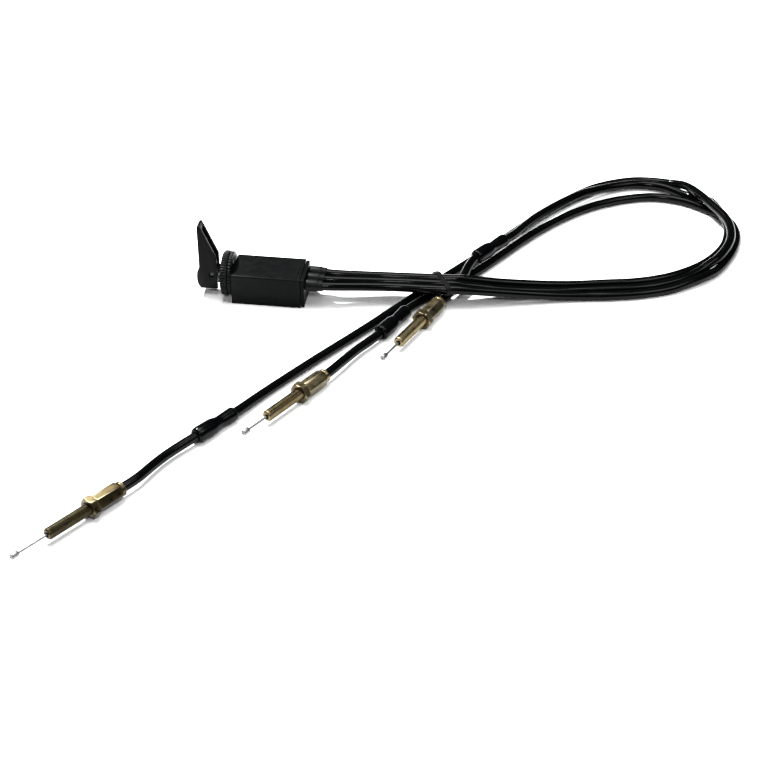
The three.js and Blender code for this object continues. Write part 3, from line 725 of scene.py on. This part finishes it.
adjusters, jam_nuts, tails, barrels = [], [], [], []
for i in range(3):
    out = outward(i)
    hx, hy = HEX_ENDS[i]
    tip = Vector((hx, hy, ADJUSTER_Z)) + out * ADJUSTER_LENGTH
    n = i + 1

    collar_x = ADJUSTER_LENGTH - COLLAR_LENGTH
    turn = HEX_TURNS[i]
    rings = [(0.0, ("plain", 2.35)), (0.12, ("plain", 2.52))]
    rings += [(x, ("thread", 0)) for x in thread_rings(0.25, THREAD_LENGTH - 0.25, 10)]
    rings += [
        (THREAD_LENGTH, ("plain", THREAD_D / 2)),
        (THREAD_LENGTH, ("hex", CORNER_END_R, turn)),
        (THREAD_LENGTH + 0.35, ("hex", CORNER_MID_R, turn)),
        (THREAD_LENGTH + 0.8, ("hex", CORNER_R, turn)),
        (collar_x - 0.7, ("hex", CORNER_R, turn)),
        (collar_x - 0.25, ("hex", CORNER_MID_R, turn)),
        (collar_x, ("hex", CORNER_END_R, turn)),
        (collar_x, ("plain", 3.62)),
        (collar_x + 0.35, ("plain", 3.6)),
        (collar_x + 0.5, ("plain", COLLAR_D / 2 - 0.08)),
        (collar_x + 0.75, ("plain", COLLAR_D / 2)),
        (ADJUSTER_LENGTH - 0.35, ("plain", COLLAR_D / 2)),
        (ADJUSTER_LENGTH, ("plain", COLLAR_D / 2 - 0.3)),
        (ADJUSTER_LENGTH, ("plain", SOCKET_D / 2 + 0.2)),
        (ADJUSTER_LENGTH - 0.25, ("plain", SOCKET_D / 2)),
        (ADJUSTER_LENGTH - SOCKET_DEPTH, ("plain", SOCKET_D / 2)),
        (ADJUSTER_LENGTH - SOCKET_DEPTH - 1.2, ("plain", CORE_BORE / 2)),
        (0.4, ("plain", CORE_BORE / 2)),
        (0.0, ("plain", CORE_BORE / 2 + 0.35)),
    ]
    adjuster = lay(turned(f"threaded_adjuster_{n}", rings, adjuster_wall, 72, 28), tip, -out)
    adjusters.append(
        stand_for(adjuster, ZINCS[i], f"adjuster_{n}_body", f"adjuster_{n}")
    )

    x0 = THREAD_LENGTH - JAM_GAP - JAM_THICKNESS
    x1 = x0 + JAM_THICKNESS
    rings = [
        (x0, ("plain", 4.75)),
        (x0, ("hex", JAM_CORNER_END_R)),
        (x0 + 0.25, ("hex", JAM_CORNER_MID_R)),
        (x0 + 0.6, ("hex", JAM_CORNER_R)),
        (x1 - 0.6, ("hex", JAM_CORNER_R)),
        (x1 - 0.25, ("hex", JAM_CORNER_MID_R)),
        (x1, ("hex", JAM_CORNER_END_R)),
        (x1, ("plain", JAM_MOUTH_R)),
        (x1 - 0.4, ("plain", JAM_BORE_R)),
        (x0 + 0.4, ("plain", JAM_BORE_R)),
        (x0, ("plain", JAM_MOUTH_R)),
    ]
    jam = lay(turned(f"lock_nut_{n}", rings, jam_nut_wall, 48, 28), tip, -out)
    jam_nuts.append(stand_for(jam, NUT_ZINCS[i], f"jam_nut_{n}_body", f"jam_nut_{n}"))

    tail = TAIL_LENGTHS[i]
    stations = [(-tail + (tail + WIRE_INSIDE) * k / 100, None) for k in range(101)]
    wire = lay(solid_turned(f"stranded_wire_{n}", stations, 36, 60, strand_wall), tip, -out)
    tails.append(stand_for(wire, WIRE, f"tail_{n}_body", f"wire_tail_{n}"))

    b0 = -tail - BARREL_PAST_WIRE
    b1 = b0 + BARREL_LENGTH
    r = BARREL_D / 2
    recess_r = WIRE_D / 2 + 0.3
    rings = [
        (b0, BARREL_BORE_R), (b0, r - 0.35), (b0 + 0.12, r - 0.12), (b0 + 0.4, r), (b1 - 0.4, r),
        (b1 - 0.12, r - 0.12), (b1, r - 0.35), (b1, recess_r), (-tail - 0.3, recess_r),
        (-tail - 0.35, BARREL_BORE_R), (b0 + 0.5, BARREL_BORE_R),
    ]
    barrel = lay(turned(f"wire_barrel_{n}", rings, plain, 36, 36), tip, -out)
    barrels.append(stand_for(barrel, BARREL, f"tail_{n}_body", f"barrel_{n}"))


# ---------------------------------------------------------------- cable tie


def stadium(half_width, half_height, count):
    """Points round a slot-shaped loop in Y and Z, with the direction out of it at each."""
    r = half_height
    flat = half_width - r
    points = []
    for side in (1, -1):
        for k in range(count + 1):
            a = -side * math.pi / 2 + math.pi * k / count
            points.append((side * flat + r * math.cos(a), r * math.sin(a), math.cos(a), math.sin(a)))
    return points


loop = stadium(TIE_INNER_Y, TIE_INNER_Z, 16)
verts, faces = [], []
for y, z, ny, nz in loop:
    for sx, lift in STRAP_SECTION:
        verts.append((sx, y + ny * lift, z + nz * lift))
width = len(STRAP_SECTION)
for i in range(len(loop)):
    j = (i + 1) % len(loop)
    for k in range(width):
        m = (k + 1) % width
        faces.append((i * width + k, i * width + m, j * width + m, j * width + k))
strap = mesh_from("tie_strap", verts, faces, 40)
head = block("tie_head", -2, 2, 9.5, 12.1, -3.1, 0.7)
cut(head, block("tie_slot", -1.3, 1.3, 10.0, 11.3, -4, -0.6))
bevel(head, 0.35, 3, 25)
stub = bevel(block("tie_stub", -1.2, 1.2, 10.2, 11.1, 0.5, 1.6), 0.2, 2, 25)
join = bmesh.new()
for part in (strap, head, stub):
    join.from_mesh(part.data)
tie_mesh = bpy.data.meshes.new("tie")
join.to_mesh(tie_mesh)
join.free()
for part in (strap, head, stub):
    bpy.data.objects.remove(part)
smooth(tie_mesh, 35)
tie = lay(link("tie", tie_mesh), TIE_CENTRE, TIE_DIRECTION)
stand_for(tie, TIE, "housing", "cable_tie")

# ---------------------------------------------------------------- floor, light and camera

floor_mesh = bpy.data.meshes.new("floor")
floor_mesh.from_pydata([(-4, -4, 0), (4, -4, 0), (4, 4, 0), (-4, 4, 0)], [], [(0, 1, 2, 3)])
floor = link("floor", floor_mesh)
fs = Shader("floor_card")
fs.put("Base Color", fs.ramp(fs.noise(3, 3), ((0.3, (0.86, 0.86, 0.86)), (0.7, (0.88, 0.88, 0.88)))))
fs.put("Roughness", 0.9)
fs.put("Specular IOR Level", 0.1)
dress(floor, fs.material)


def area(name, place, aim, size, power):
    data = bpy.data.lights.new(name, "AREA")
    data.shape = "RECTANGLE"
    data.size, data.size_y = size
    data.energy = power
    obj = bpy.data.objects.new(name, data)
    SCENE.collection.objects.link(obj)
    obj.location = place
    obj.rotation_euler = (Vector(aim) - Vector(place)).to_track_quat("-Z", "Y").to_euler()


area("top", (0.0, 0.15, 1.35), (0.08, -0.02, 0), (0.8, 0.8), 26)
area("left", (-0.5, 0.5, 1.0), (0.08, -0.02, 0), (0.1, 0.1), 52)
area("right", (0.75, -0.2, 1.0), (0.1, -0.02, 0), (0.5, 0.5), 7)
area("front", (0.12, -1.25, 1.15), (0.1, -0.02, 0), (0.26, 0.12), 9)

world = bpy.data.worlds.new("studio")
world.use_nodes = True
world.node_tree.nodes["Background"].inputs["Color"].default_value = (0.97, 0.985, 1.0, 1)
world.node_tree.nodes["Background"].inputs["Strength"].default_value = 0.05
SCENE.world = world
SCENE.view_settings.view_transform = "Standard"

YAW = math.radians(-7.5)
TILT = math.radians(36.0)
SENSOR = 36
FOCAL = SENSOR * 1762 / 760
CAMERA_PLACE = (0.16672, -0.80032, 0.534)
right = Vector((math.cos(YAW), -math.sin(YAW), 0))
ahead = Vector((math.sin(YAW) * math.cos(TILT), math.cos(YAW) * math.cos(TILT), -math.sin(TILT)))
up = right.cross(ahead)
camera_data = bpy.data.cameras.new("camera")
camera_data.lens = FOCAL
camera_data.sensor_width = SENSOR
camera_data.clip_start = 0.01
camera = bpy.data.objects.new("camera", camera_data)
SCENE.collection.objects.link(camera)
facing = Matrix((right, up, -ahead)).transposed().to_4x4()
camera.matrix_world = Matrix.Translation(CAMERA_PLACE) @ facing
SCENE.camera = camera
